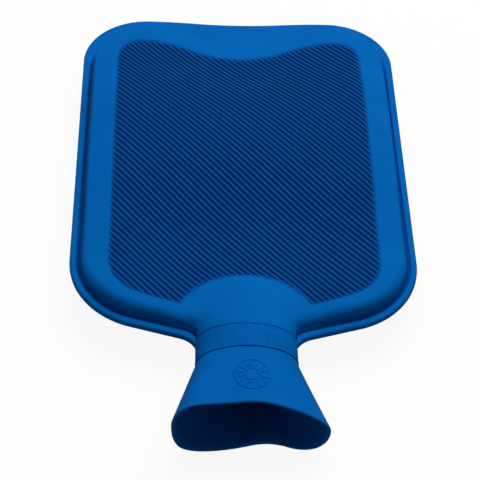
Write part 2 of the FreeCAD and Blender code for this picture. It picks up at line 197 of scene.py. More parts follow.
def inside(points: Array, polygon: Array) -> Array:
    """Whether plan points lie inside a closed polygon.

    Args:
        points: Plan points.
        polygon: Corners of the polygon.

    Returns:
        One truth value for each point.
    """
    result = np.zeros(len(points), bool)
    for start, end in zip(polygon, np.roll(polygon, -1, 0)):
        if start[1] == end[1]:
            continue
        crosses = (start[1] > points[:, 1]) != (end[1] > points[:, 1])
        at = start[0] + (points[:, 1] - start[1]) * (end[0] - start[0]) / (end[1] - start[1])
        result ^= crosses & (points[:, 0] < at)
    return result


def closed_curve(points: Array, count: int) -> Array:
    """Smooth closed curve through control points.

    Args:
        points: Control points in order.
        count: Points on each of its spans.

    Returns:
        Points of the curve.
    """
    before, after, last = (np.roll(points, shift, 0) for shift in (1, -1, -2))
    spans = ((before, points), (points, after), (after, last))
    gap, here, beyond = (np.sqrt(np.hypot(*(end - start).T))[:, None] for start, end in spans)
    chord = after - points
    slope = here * ((points - before) / gap - (after - before) / (gap + here)) + chord
    next_slope = here * ((last - after) / beyond - (last - points) / (here + beyond)) + chord
    share = np.linspace(0.0, 1.0, count, endpoint=False)[:, None, None]
    square, cube = share ** 2, share ** 3
    curve = ((2 * cube - 3 * square + 1) * points + (cube - 2 * square + share) * slope
             + (3 * square - 2 * cube) * after + (cube - square) * next_slope)
    return curve.transpose(1, 0, 2).reshape(-1, points.shape[1])


def grid_faces(rows: int, columns: int, offset: int = 0, closed: bool = False) -> list[tuple[int, ...]]:
    """Quads of a grid of points.

    Args:
        rows: Number of rows.
        columns: Points in a row.
        offset: Index of the first point.
        closed: Whether a row's last point joins its first.

    Returns:
        The quads.
    """
    faces = []
    span = columns if closed else columns - 1
    for row in range(rows - 1):
        first = offset + row * columns
        second = first + columns
        for column in range(span):
            across = (column + 1) % columns
            faces.append((first + column, first + across, second + across, second + column))
    return faces


@dataclass
class Shell:
    """Points and faces of one piece, gathered before its mesh is made."""

    points: list[Array] = field(default_factory=list)
    faces: list[tuple[int, ...]] = field(default_factory=list)
    marks: dict[str, list[Array]] = field(default_factory=dict)
    count: int = 0

    def add_grid(self, grid: Array, closed: bool = False, **marks: Array) -> int:
        """Add a grid of points with its quads.

        Args:
            grid: Rows by columns by 3, in millimetres.
            closed: Whether each row closes on itself.
            marks: Values for each point, kept as attributes.

        Returns:
            Index of the grid's first point.
        """
        rows, columns = grid.shape[:2]
        start = self.count
        self.faces.extend(grid_faces(rows, columns, start, closed))
        self.points.append(grid.reshape(-1, 3))
        for name in self.marks | marks:
            earlier = self.marks.setdefault(name, [np.zeros(start)])
            values = marks.get(name, np.zeros(rows * columns))
            earlier.append(np.asarray(values).reshape(-1))
        self.count += rows * columns
        return start

    def add_fan(self, first: int, columns: int, centre: Sequence[float]) -> None:
        """Close a ring of points with a fan.

        Args:
            first: Index of the ring's first point.
            columns: Points in the ring.
            centre: Middle of the fan, in millimetres.
        """
        middle = self.count
        self.points.append(np.asarray(centre, float).reshape(1, 3))
        for values in self.marks.values():
            values.append(np.zeros(1))
        self.count += 1
        for index in range(columns):
            self.faces.append((first + index, first + (index + 1) % columns, middle))

    def build(self, name: str) -> bpy.types.Object:
        """Make the object: merged, closed, outward and smooth.

        Args:
            name: The object's name.

        Returns:
            The new object, at the origin.
        """
        mesh = bpy.data.meshes.new(name)
        mesh.from_pydata((np.concatenate(self.points) * MM).tolist(), [], self.faces)
        for mark, values in self.marks.items():
            attribute = mesh.attributes.new(mark, "FLOAT", "POINT")
            attribute.data.foreach_set("value", np.concatenate(values).astype(np.float32))
        clean(mesh)
        return place(name, mesh)


def clean(mesh: bpy.types.Mesh) -> None:
    """Merge doubles, point the faces outwards and shade them smoothly.

    Args:
        mesh: Mesh to mend in place.
    """
    work = bmesh.new()
    work.from_mesh(mesh)
    bmesh.ops.remove_doubles(work, verts=work.verts, dist=MERGE_DISTANCE)
    bmesh.ops.dissolve_degenerate(work, edges=work.edges, dist=MERGE_DISTANCE / 2)
    bmesh.ops.recalc_face_normals(work, faces=work.faces)
    for face in work.faces:
        face.smooth = True
    work.to_mesh(mesh)
    work.free()
    mesh.update()


def place(name: str, mesh: bpy.types.Mesh) -> bpy.types.Object:
    """Put a mesh into the scene as an object at the origin.

    Args:
        name: The object's name.
        mesh: Its mesh.

    Returns:
        The new object.
    """
    piece = bpy.data.objects.new(name, mesh)
    bpy.context.scene.collection.objects.link(piece)
    return piece


def add_node(tree: bpy.types.NodeTree, kind: str, settings: dict[str, Any],
             sockets: dict[Any, Any]) -> bpy.types.Node:
    """Add a node to a tree.

    Args:
        tree: The tree.
        kind: The node's type.
        settings: Properties, set before the sockets.
        sockets: Values or output sockets for its inputs, by name or number.

    Returns:
        The node.
    """
    node = tree.nodes.new(kind)
    for name, setting in settings.items():
        setattr(node, name, setting)
    for name, item in sockets.items():
        if isinstance(item, bpy.types.NodeSocket):
            tree.links.new(item, node.inputs[name])
        else:
            node.inputs[name].default_value = item
    return node


class Value:
    """A shader value that Python's operators work on."""

    def __init__(self, book: "ShaderBook", socket: bpy.types.NodeSocket) -> None:
        """Wrap a socket of a book's material."""
        self.book = book
        self.socket = socket

    def _math(self, operation: str, other: Any) -> "Value":
        """Math node on this value and another."""
        return self.book.node("ShaderNodeMath", {"operation": operation}, {0: self, 1: other})

    def __add__(self, other: Any) -> "Value":
        """Sum."""
        return self._math("ADD", other)

    __radd__ = __add__

    def __mul__(self, other: Any) -> "Value":
        """Product."""
        return self._math("MULTIPLY", other)

    __rmul__ = __mul__


class ShaderBook:
    """One material and its nodes."""

    def __init__(self, name: str) -> None:
        """Start a material with its output."""
        self.material = bpy.data.materials.new(name)
        self.material.use_nodes = True
        self.tree = self.material.node_tree
        self.tree.nodes.clear()
        self.output = self.tree.nodes.new("ShaderNodeOutputMaterial")

    def node(self, kind: str, settings: dict[str, Any], sockets: dict[Any, Any], output: Any = 0) -> Value:
        """Add a node.

        Args:
            kind: The node's type.
            settings: Properties, set before the sockets.
            sockets: Numbers, colours or values for its inputs, by name or number.
            output: The output to hand on, by name or number.

        Returns:
            The wrapped output.
        """
        plain = {name: item.socket if isinstance(item, Value) else item for name, item in sockets.items()}
        return Value(self, add_node(self.tree, kind, settings, plain).outputs[output])

    def place(self) -> Value:
        """Object coordinates."""
        return self.node("ShaderNodeTexCoord", {}, {}, "Object")

    def mark(self, name: str) -> Value:
        """Value of a point attribute."""
        return self.node("ShaderNodeAttribute", {"attribute_name": name}, {}, "Fac")

    def noise(self, scale: float, detail: float = 2.0, roughness: float = 0.5) -> Value:
        """Noise in object space, from 0 to 1."""
        sockets = {"Vector": self.place(), "Scale": scale, "Detail": detail, "Roughness": roughness}
        return self.node("ShaderNodeTexNoise", {}, sockets, "Fac")

    def mix(self, factor: Value, first: Any, second: Any) -> Value:
        """Mix of two colours, which are the node's sockets 6 and 7 and its output 2."""
        return self.node("ShaderNodeMix", {"data_type": "RGBA"}, {0: factor, 6: first, 7: second}, 2)

    def bump(self, height: Value, distance: float, strength: float) -> Value:
        """Bump from a height of 0 to 1 over a distance in metres."""
        sockets = {"Height": height, "Distance": distance, "Strength": strength}
        return self.node("ShaderNodeBump", {}, sockets)

    def surface(self, shader: Value) -> bpy.types.Material:
        """Join a shader to the output and hand on the material."""
        self.tree.links.new(shader.socket, self.output.inputs["Surface"])
        return self.material

    def finish(self, **inputs: Any) -> bpy.types.Material:
        """Join a Principled shader to the output.

        Args:
            inputs: Values for its sockets, with underscores for spaces.

        Returns:
            The material.
        """
        sockets = {name.replace("_", " "): item for name, item in inputs.items()}
        return self.surface(self.node("ShaderNodeBsdfPrincipled", {}, sockets))


def linear(colour: Colour) -> tuple[float, float, float, float]:
    """Linear colour from display values of 0 to 255, by the usual display curve.

    Args:
        colour: Red, green and blue.

    Returns:
        Linear red, green and blue, and full alpha.
    """
    display = np.array(colour) / 255.0
    light = np.where(display <= 0.04045, display / 12.92, ((display + 0.055) / 1.055) ** 2.4)
    return (*light.tolist(), 1.0)


@dataclass(frozen=True)
class BlueRubber:
    """Moulded blue rubber with a fine grain, and painted shade mixed into its colour where a piece's points
    ask for it.
    """

    name: str = "blue_rubber_finish"
    light: Colour = (2, 98, 176)
    dark: Colour = (1, 84, 156)
    # Deep blue of the painted shade in grooves, between the ribs and inside the mouth.
    recess: Colour = (0, 48, 118)
    gloss_tint: Colour = (60, 150, 255)
    gloss: float = 0.04
    refraction: float = 1.45
    roughness: float = 0.62
    wear: float = 0.1
    wear_scale: float = 60.0
    mottle_scale: float = 34.0
    grain_scale: float = 1500.0
    grain_depth: float = 0.00006
    grain_strength: float = 0.35

    def material(self) -> bpy.types.Material:
        """Build the material.

        Returns:
            The material.
        """
        book = ShaderBook(self.name)
        mottle = book.noise(self.mottle_scale, detail=3.0)
        colour = book.mix(mottle, linear(self.dark), linear(self.light))
        # Painted shade: the colour turns towards the deep blue where the points carry shade.
        colour = book.mix(book.mark("recess"), colour, linear(self.recess))
        grain = book.noise(self.grain_scale, roughness=0.6)
        normal = book.bump(grain, self.grain_depth, self.grain_strength)
        rough = book.noise(self.wear_scale) * self.wear + (self.roughness - self.wear / 2)
        return book.finish(Base_Color=colour, Roughness=rough, Normal=normal, IOR=self.refraction,
                           Specular_IOR_Level=self.gloss, Specular_Tint=linear(self.gloss_tint))


@dataclass(frozen=True)
class DarkMoulding:
    """Dark moulded plastic or rubber with a faint mottle and grain."""

    name: str
    base: Colour
    worn: Colour
    roughness: float
    refraction: float = 1.47
    wear: float = 0.16
    wear_scale: float = 140.0
    mottle_scale: float = 90.0
    grain_scale: float = 1200.0
    grain_depth: float = 0.00008
    grain_strength: float = 0.4

    def material(self) -> bpy.types.Material:
        """Build the material.

        Returns:
            The material.
        """
        book = ShaderBook(self.name)
        mottle = book.noise(self.mottle_scale, detail=3.0)
        colour = book.mix(mottle, linear(self.base), linear(self.worn))
        normal = book.bump(book.noise(self.grain_scale), self.grain_depth, self.grain_strength)
        rough = book.noise(self.wear_scale) * self.wear + (self.roughness - self.wear / 2)
        return book.finish(Base_Color=colour, Roughness=rough, Normal=normal, IOR=self.refraction)


@dataclass
class Outline:
    """Plan lines of the right-hand half: rim, panel's foot and the middle that they run to."""

    half_width: float = HALF_WIDTH
    far_y: float = FAR_Y
    rim_width: float = 5.2
    far_radius: float = 41.0
    near_radius: float = 50.0
    far_dip: float = 2.8
    tab_length: float = 13.8
    tab_dip: float = 17.0
    sides_start_y: float = -48.5
    fillet_centre: tuple[float, float] = (40.5, -118.0)
    fillet_radius: float = 14.0
    rim_fillet_end: float = 165.0
    foot_fillet_end: float = 130.0
    middle_far_y: float = 92.0
    middle_side_y: float = -44.0
    middle_near_y: float = -80.0
    middle_shoulder_y: float = -93.0
    far_steps: int = 40
    far_corner_steps: int = 30
    side_steps: int = 50
    near_corner_steps: int = 42
    shoulder_steps: int = 18
    fillet_steps: int = 24
    flank_steps: int = 8

    def steps(self) -> list[int]:
        """Steps along the far edge, far corner, side, near corner, shoulder and fillet."""
        return [self.far_steps, self.far_corner_steps, self.side_steps, self.near_corner_steps,
                self.shoulder_steps, self.fillet_steps]

    def rim(self) -> Array:
        """Points of the rim's outer edge from the far middle to the neck."""
        return self._line(0.0, self.far_y, self.far_dip, self.rim_fillet_end, 0)

    def foot(self) -> Array:
        """Points of the foot of the panel's wall, matched with the rim's."""
        far_y = self.far_y - self.tab_length
        return self._line(self.rim_width, far_y, self.tab_dip, self.foot_fillet_end, self.flank_steps)

    def _line(self, inset: float, far_y: float, dip: float, fillet_end: float, flank_steps: int) -> Array:
        """Line round the far edge, corner, side, near corner, shoulder, fillet and flank.

        Args:
            inset: How far it lies inside the rim's edge.
            far_y: Far end beside the dip.
            dip: Depth of the dip in the far edge.
            fillet_end: Angle at which the fillet at the neck ends, in degrees.
            flank_steps: Steps along the neck's flank after the fillet.

        Returns:
            Its points.
        """
        slope = math.radians(SHOULDER_SLOPE)
        far_x = self.half_width - self.far_radius
        far_radius = self.far_radius - inset
        far_centre = (far_x, far_y - far_radius)
        side_x = self.half_width - inset
        near_centre = (self.half_width - self.near_radius, self.sides_start_y)
        near_radius = self.near_radius - inset
        fillet = self.fillet_radius + inset
        across = np.linspace(0.0, far_x, self.far_steps + 1)
        uphill = np.array((math.sin(slope), -math.cos(slope)))
        start = near_centre + near_radius * uphill
        end = self.fillet_centre - fillet * uphill
        parts = [np.stack([across, far_y - dip * (1.0 - two_arcs(across / far_x))], 1),
                 arc_points(far_centre, far_radius, 90, 0, self.far_corner_steps),
                 line_points((side_x, far_centre[1]), (side_x, self.sides_start_y), self.side_steps),
                 arc_points(near_centre, near_radius, 0, SHOULDER_SLOPE - 90, self.near_corner_steps),
                 line_points(start, end, self.shoulder_steps),
                 arc_points(self.fillet_centre, fillet, 90 + SHOULDER_SLOPE, fillet_end,
                            self.fillet_steps - flank_steps)]
        if flank_steps:
            parts.append(line_points(parts[-1][-1], (NECK_HALF_WIDTH, NECK_START_Y), flank_steps))
        return np.concatenate(parts)

    def middle(self) -> Array:
        """Where each station ends on the bottle's middle line.

        Returns:
            One plan point for each station.
        """
        places = [self.middle_far_y, self.middle_far_y, self.middle_side_y, self.middle_near_y,
                  self.middle_shoulder_y, NECK_START_Y]
        far, corner, *others = self.steps()
        ends = np.cumsum([0, far + corner, *others])
        along = np.interp(np.arange(ends[-1] + 1), ends, places)
        return np.stack([np.zeros_like(along), along], 1)

    def turning(self) -> Array:
        """How far each station's line has turned from the foot's normal to straight across."""
        steps = self.steps()
        reach = self.shoulder_steps + self.fillet_steps - self.flank_steps
        return smooth((np.arange(sum(steps) + 1) - sum(steps[:4])) / reach)


@dataclass
class RibField:
    """Outline of the ribbed field."""

    half_width: float = 77.0
    far_y: float = 134.5
    far_radius: float = 17.0
    dip: float = 15.3
    near_radius: float = 25.0
    near_level: float = 93.8
    arch_radius: float = 43.0
    arch_top_y: float = -66.1
    far_steps: int = 24
    corner_steps: int = 12
    near_steps: int = 16

    def polygon(self, grow: float = 0.0) -> Array:
        """Closed polygon of the field.

        Args:
            grow: Distance that the field reaches past its border.

        Returns:
            Its corners in order.
        """
        slope = math.radians(SHOULDER_SLOPE)
        far_x = self.half_width - self.far_radius
        near_x = self.half_width - self.near_radius
        near_y = (near_x * math.sin(slope) - self.near_level + self.near_radius) / math.cos(slope)
        arch_y = self.arch_top_y - self.arch_radius
        arch = self.arch_radius - grow
        lift = slope - math.asin((self.near_level + grow + arch_y * math.cos(slope)) / arch)
        across = np.linspace(0.0, far_x, self.far_steps)
        far = self.far_y + grow - self.dip * (1.0 - two_arcs(across / far_x))
        right = [np.stack([across, far], 1),
                 arc_points((far_x, self.far_y - self.far_radius), self.far_radius + grow, 90, 0,
                            self.corner_steps),
                 np.array([[self.half_width + grow, near_y]]),
                 arc_points((near_x, near_y), self.near_radius + grow, 0, SHOULDER_SLOPE - 90,
                            self.near_steps),
                 np.array([[arch * math.cos(lift), arch_y + arch * math.sin(lift)]]),
                 arc_points((0.0, arch_y), arch, math.degrees(lift), 90, self.near_steps)]
        half = np.concatenate(right)
        left = half[1:-1][::-1] * (-1.0, 1.0)
        return np.concatenate([half, left])

    def outside(self, points: Array) -> Array:
        """Signed distance of plan points outside the field."""
        polygon = self.polygon()
        edge = distance_to(points, np.concatenate([polygon, polygon[:1]]))
        return np.where(inside(points, polygon), -edge, edge)


@dataclass
class Relief:
    """Heights of the two panels and of the neck that runs into them, above and below the seam."""

    # Walls: the radius of the rolled top and how far the wall leans inwards.
    edge_height: float = 10.0
    shoulder_roll: float = 5.4
    side_roll: float = 2.0
    shoulder_lean: float = 0.8
    side_lean: float = 2.3
    side_roll_y: float = -30.0
    shoulder_roll_y: float = -85.0
    back_roll: float = 8.0
    # Front crown.
    crown_y: float = 50.0
    front_rise: float = 10.0
    near_reach: float = 112.0
    far_reach: float = 86.0
    # Sag of the front's middle line, as shares of the dish.
    dish: float = 3.9
    near_sag: float = 0.85
    near_sag_gap: float = 15.0
    near_sag_length: float = 100.0
    far_sag: float = 0.38
    far_sag_length: float = 55.0
    dish_half_width: float = 90.0
    dish_edge: float = 1.25
    # Fall of the front's side margins towards the rim.
    side_fall: float = 0.4
    side_fall_inset: float = 6.0
    side_fall_width: float = 26.0
    # Flat back crown, which the bottle lies on.
    back_near_top: float = -53.0
    back_far_top: float = 89.0
    back_near_reach: float = 32.0
    back_far_reach: float = 46.0
    # Neck's root: an oval that turns into a bell as it sinks into the panel.
    neck_length: float = 46.0
    neck_sink: float = 1.5
    neck_droop: float = 1.45
    neck_spread: float = 17.0
    neck_flare: float = 1.25
    neck_skirt: float = 40.0
    bell_base: float = 5.0
    bell_reach: float = 1.5
    bell_start: float = 0.4
    neck_blend: float = 5.0
    neck_blend_start: float = 0.25
    # Smooth margin round the ribs, as high as they are.
    margin_rise: float = 1.05
    margin_foot: float = 2.0
    margin_start: float = 12.0
    margin_ramp: float = 3.6
    rib_field: RibField = field(default_factory=RibField)

    def panel(self, points: Array, side: Side) -> Array:
        """Height of a panel's crown: the front also sags along its middle line towards both ends.

        Args:
            points: Plan points.
            side: The panel.

        Returns:
            Heights above the seam, without the wall's roll.
        """
        x, y = np.abs(points[:, 0]), points[:, 1]
        if side is Side.BACK:
            near = two_arcs((y - self.back_near_top + self.back_near_reach) / self.back_near_reach)
            far = two_arcs((self.back_far_top + self.back_far_reach - y) / self.back_far_reach)
            return self.edge_height + self.front_rise * np.minimum(near, far)
        near = two_arcs((y - self.crown_y + self.near_reach) / self.near_reach)
        far = two_arcs((self.crown_y + self.far_reach - y) / self.far_reach)
        height = self.edge_height + self.front_rise * np.minimum(near, far)
        edge = self.dish_edge * (1.0 - (1.0 - np.minimum(x / self.dish_half_width, 1.0) ** 2) ** 2)
        far_share = smooth((y - self.crown_y) / self.far_sag_length)
        near_share = smooth((self.crown_y - self.near_sag_gap - y) / self.near_sag_length)
        height += self.dish * far_share * (edge - self.far_sag)
        height += self.dish * near_share * (edge - self.near_sag)
        fall = smooth((x - self.rib_field.half_width + self.side_fall_inset) / self.side_fall_width)
        return height - (height - RIM_HEIGHT) * self.side_fall * fall

    def wall(self, y: Array, side: Side) -> tuple[Array, Array]:
        """Shape of a panel's wall at places along the bottle.

        Args:
            y: Places along the bottle.
            side: The panel.

        Returns:
            Radius of the wall's rolled top, and how far the wall leans inwards.
        """
        if side is Side.BACK:
            return np.full_like(y, self.back_roll), np.zeros_like(y)
        share = smooth((y - self.shoulder_roll_y) / (self.side_roll_y - self.shoulder_roll_y))
        return (self.shoulder_roll + (self.side_roll - self.shoulder_roll) * share,
                self.shoulder_lean + (self.side_lean - self.shoulder_lean) * share)

    def neck(self, points: Array, side: Side) -> tuple[Array, Array]:
        """Height of the neck where it sinks into a panel, and how softly it meets it.

        Args:
            points: Plan points.
            side: The panel.

        Returns:
            Heights and blending radii.
        """
        share = np.clip((points[:, 1] - NECK_START_Y) / self.neck_length, 0.0, 1.0)
        axis = NECK_AXIS * side.value
        top = axis + NECK_HALF_HEIGHT
        crest = top - (top - self.edge_height + self.neck_sink) * share ** self.neck_droop
        width = NECK_HALF_WIDTH + self.neck_spread * share ** self.neck_flare
        ratio = np.abs(points[:, 0]) / width
        oval = axis + (crest - axis) * np.sqrt(np.maximum(1.0 - ratio ** 2, 0.0))
        oval -= self.neck_skirt * np.maximum(ratio - 1.0, 0.0)
        base = self.edge_height - self.bell_base
        bell = np.cos(math.pi * np.minimum(ratio / self.bell_reach, 1.0))
        bell = base + (crest - base) * 0.5 * (1.0 + bell)
        turn = smooth(share / self.bell_start)
        blend = self.neck_blend * smooth(share / self.neck_blend_start)
        return oval * (1.0 - turn) + bell * turn, blend

    def height(self, points: Array, depth: Array, side: Side) -> tuple[Array, Array]:
        """Height of the skin above the seam, on its own side.

        Args:
            points: Plan points.
            depth: Their distances inside the foot of the wall.
            side: The panel.

        Returns:
            Heights, and the rise of the smooth margin that they hold.
        """
        radius, lean = self.wall(points[:, 1], side)
        reach = np.clip(radius + lean - depth, 0.0, radius)
        drop = radius - np.sqrt(np.maximum(radius ** 2 - reach ** 2, 0.0))
        panel = self.panel(points, side)
        rise = np.zeros_like(panel)
        if side is Side.FRONT:
            rise = self.margin_rise * smooth(self.rib_field.outside(points) / self.margin_ramp + 0.5)
            rise = rise * smooth(depth / self.margin_foot)
        neck, blend = self.neck(points, side)
        flush = smooth((points[:, 1] - NECK_START_Y) / self.margin_start)
        return soft_max(panel - drop + rise * flush, neck, blend), rise


@dataclass
class Sheet:
    """One side's skin of the right-hand half, as lines from the rim's edge to the middle line."""

    side: Side
    lines: list[Array] = field(default_factory=list)
    rises: list[Array] = field(default_factory=list)
    painted_shades: list[Array] = field(default_factory=list)

    def add(self, plan: Array, height: Any, recess: Any = 0.0, rise: Any = 0.0) -> None:
        """Add a line.

        Args:
            plan: Its plan points, one for each station.
            height: Their heights from the seam, on the sheet's own side.
            recess: How much painted shade they carry, from 0 to 1.
            rise: Rise of the smooth margin that they hold.
        """
        count = len(plan)
        level = np.broadcast_to(SEAM_Z + self.side.value * np.asarray(height), count)
        self.lines.append(np.column_stack([plan, level]))
        self.painted_shades.append(np.broadcast_to(recess, count))
        self.rises.append(np.broadcast_to(rise, count))

    def grid(self) -> Array:
        """Points, with a row for each station."""
        return np.stack(self.lines, 1)

    def marks(self) -> dict[str, Array]:
        """Rises and painted shade of the grid's points."""
        return {"rise": np.stack(self.rises, 1), "recess": np.stack(self.painted_shades, 1)}


@dataclass
class Bladder:
    """The rim and both panels, as one closed skin that ends under the neck's band."""

    rim_front: float = RIM_HEIGHT
    rim_back: float = 1.7
    edge_radius: float = 1.6
    edge_loops: int = 7
    face_shares: tuple[float, ...] = (0.33, 0.67, 1.0)
    groove_reach: float = 1.7
    groove_depth: float = 1.1
    # Painted shade along the groove's floor, from 0 to 1.
    groove_painted_shade: float = 0.75
    groove_lead: int = 14
    groove_ease: float = 20.0
    wall_shares: tuple[float, ...] = (0.3, 0.65)
    # Painted shade on the wall's foot beside the groove.
    wall_painted_shade: float = 0.45
    least_roll: float = 0.12
    lean_roll: float = 0.04
    most_roll: float = 0.9
    roll_loops: int = 13
    normal_reach: float = 22.0
    knee_share: float = 0.6
    front_lines: tuple[int, int] = (27, 12)
    back_lines: tuple[int, int] = (10, 8)
    close_depth: float = 28.0
    last_depth: float = 85.0
    # Painted shade on the skin between the ribs starts this far inside the foot.
    field_shade_depth: float = 6.0
    field_shade_ease: float = 4.0
    pocket: tuple[tuple[float, float], ...] = ((14.3, -110.0), (14.3, -104.0), (11.0, -104.0), (11.0, -95.0))
    outline: Outline = field(default_factory=Outline)
    relief: Relief = field(default_factory=Relief)

    def groove_profile(self) -> list[tuple[float, float, float]]:
        """Lines across the groove: distance before the foot, share of its depth, heap where it ends."""
        return [(1.6, 0.12, 0.0), (1.3, 0.55, 0.0), (1.0, 0.92, 0.02),
                (0.6, 1.0, 0.1), (0.3, 0.97, 0.2), (0.0, 0.8, 0.45)]

    def groove(self, side: Side) -> Array:
        """Share of the groove: none along the tab and behind, all along the sides.

        Args:
            side: The panel.

        Returns:
            One share for each station.
        """
        steps = self.outline.steps()
        if side is Side.BACK:
            return np.zeros(sum(steps) + 1)
        past_corner = np.arange(sum(steps) + 1) - steps[0] - steps[1]
        return smooth((past_corner + self.groove_lead) / self.groove_ease)

    def depths(self, side: Side) -> Array:
        """Places of the lines across a panel.

        Args:
            side: The panel.

        Returns:
            Shares of the way from the roll's end to the middle line.
        """
        close, sparse = self.front_lines if side is Side.FRONT else self.back_lines
        near = np.linspace(0.0, self.close_depth, close)
        far = np.linspace(self.close_depth, self.last_depth, sparse)
        return np.concatenate([near[1:], far[1:]]) / self.last_depth

    def add_rim(self, sheet: Sheet, rim: Array, foot: Array, groove: Array) -> Array:
        """Add the rim's rolled edge, its face and the groove beside the panel's foot.

        Args:
            sheet: Where they go.
            rim: Points of the rim's edge.
            foot: Points of the panel's foot.
            groove: Share of the groove at each station.

        Returns:
            Heights of the last line, on the panel's foot.
        """
        inward = (foot - rim) / np.hypot(*(foot - rim).T)[:, None]
        rim_height = self.rim_front if sheet.side is Side.FRONT else self.rim_back
        height = rim_height
        sheet.add(rim, 0.0)
        for angle in np.radians(np.linspace(0, 90, self.edge_loops)):
            inset = self.edge_radius * (1 - math.cos(angle))
            sheet.add(rim + inward * inset, rim_height - self.edge_radius * (1 - math.sin(angle)))
        start = rim + inward * self.edge_radius
        end = foot - inward * self.groove_reach
        for share in self.face_shares:
            sheet.add(start * (1 - share) + end * share, rim_height)
        for back, deep, heap in self.groove_profile():
            height = rim_height - self.groove_depth * deep * groove + heap * (1 - groove)
            # The groove's floor carries painted shade.
            sheet.add(foot - inward * back, height, self.groove_painted_shade * deep * groove)
        return height

    def heading(self, foot: Array, middle: Array) -> Array:
        """Unit plan directions in which the stations' lines leave the foot.

        Args:
            foot: Points of the panel's foot.
            middle: Where each station ends.

        Returns:
            One direction for each station.
        """
        away = np.gradient(foot, axis=0)
        normal = np.stack([away[:, 1], -away[:, 0]], 1) / np.hypot(*away.T)[:, None]
        normal[0] = (0.0, -1.0)
        to_middle = middle - foot
        turn = self.outline.turning()[:, None]
        heading = normal * (1 - turn) + to_middle / np.hypot(*to_middle.T)[:, None] * turn
        return heading / np.hypot(*heading.T)[:, None]

    def panel_plans(self, side: Side, foot: Array, middle: Array, start_angle: Array) -> list[Array]:
        """Plan points of the lines over the wall's rolled top and across the panel.

        Args:
            side: The panel.
            foot: Points of the panel's foot.
            middle: Where each station ends.
            start_angle: Where each station enters the roll.

        Returns:
            The lines, from the wall to the middle line.
        """
        heading = self.heading(foot, middle)
        radius, lean = self.relief.wall(foot[:, 1], side)
        plans = []
        for share in np.linspace(0.0, 1.0, self.roll_loops):
            angle = start_angle + (math.pi / 2 - start_angle) * share
            plans.append(foot + heading * (lean + radius * (1 - np.cos(angle)))[:, None])
        reach = np.minimum(self.normal_reach, np.hypot(*(middle - foot).T) * self.knee_share)
        rolled = foot + heading * (lean + radius)[:, None]
        knee = foot + heading * reach[:, None]
        first_leg = reach - radius - lean
        second_leg = np.hypot(*(middle - knee).T)
        for share in self.depths(side):
            run = share * (first_leg + second_leg)
            near = np.minimum(run / first_leg, 1.0)[:, None]
            far = np.clip((run - first_leg) / np.maximum(second_leg, 1e-6), 0.0, 1.0)[:, None]
            plans.append((rolled * (1 - near) + knee * near) * (1 - far) + middle * far)
        return plans

    def sheet(self, side: Side) -> Sheet:
        """One side's skin of the right-hand half.

        Args:
            side: The panel.

        Returns:
            Its lines from the rim's edge to the middle.
        """
        sheet = Sheet(side)
        rim, foot, middle = self.outline.rim(), self.outline.foot(), self.outline.middle()
        groove = self.groove(side)
        base = self.add_rim(sheet, rim, foot, groove)
        heading = self.heading(foot, middle)
        radius, lean = self.relief.wall(foot[:, 1], side)
        entry = (base - self.relief.panel(foot, side) + radius) / radius
        start_angle = np.arcsin(np.clip(entry, self.least_roll + self.lean_roll * lean, self.most_roll))
        first_depth = lean + radius * (1 - np.cos(start_angle))
        wall_top, _ = self.relief.height(foot + heading * first_depth[:, None], first_depth, side)
        for share in self.wall_shares:
            plan = foot + heading * (first_depth * share)[:, None]
            height = base * (1 - share) + np.maximum(wall_top, base) * share
            # The wall's foot carries painted shade where the groove runs.
            sheet.add(plan, height, self.wall_painted_shade * groove * (1 - share))
        for plan in self.panel_plans(side, foot, middle, start_angle):
            depth = distance_to(plan, foot)
            height, rise = self.relief.height(plan, depth, side)
            # Painted shade on the skin between the ribs, where the smooth margin does not rise.
            dark = 0.0
            if side is Side.FRONT:
                dark = np.clip(1.0 - rise / self.relief.margin_rise, 0.0, 1.0)
                dark = dark * smooth((depth - self.field_shade_depth) / self.field_shade_ease)
            sheet.add(plan, height, dark, rise)
        return sheet

    def add_to(self, shell: Shell) -> None:
        """Add the bladder's closed skin to a shell.

        Args:
            shell: Where it goes.
        """
        flip = np.array((-1.0, 1.0, 1.0))
        ends = []
        for side in Side:
            sheet = self.sheet(side)
            grid = sheet.grid()
            for half in (grid, grid * flip):
                shell.add_grid(half, **sheet.marks())
            ends.append(grid[-1])
        top, bottom = ends
        loop = np.concatenate([top, (top * flip)[::-1][1:], (bottom * flip)[1:], bottom[::-1][1:-1]])
        edge = math.atan2(loop[0, 2] - NECK_AXIS_Z, loop[0, 0])
        corners = [0, 2 * len(top) - 2, len(loop)]
        turn = np.interp(np.arange(len(loop)), corners, [edge, math.pi - edge, 2 * math.pi + edge])
        rings = [loop]
        for radius, y in self.pocket:
            ring = [radius * np.cos(turn), np.full_like(turn, y), NECK_AXIS_Z + radius * np.sin(turn)]
            rings.append(np.stack(ring, 1))
        first = shell.add_grid(np.stack(rings), closed=True)
        shell.add_fan(first + (len(rings) - 1) * len(loop), len(loop), (0.0, self.pocket[-1][1], NECK_AXIS_Z))


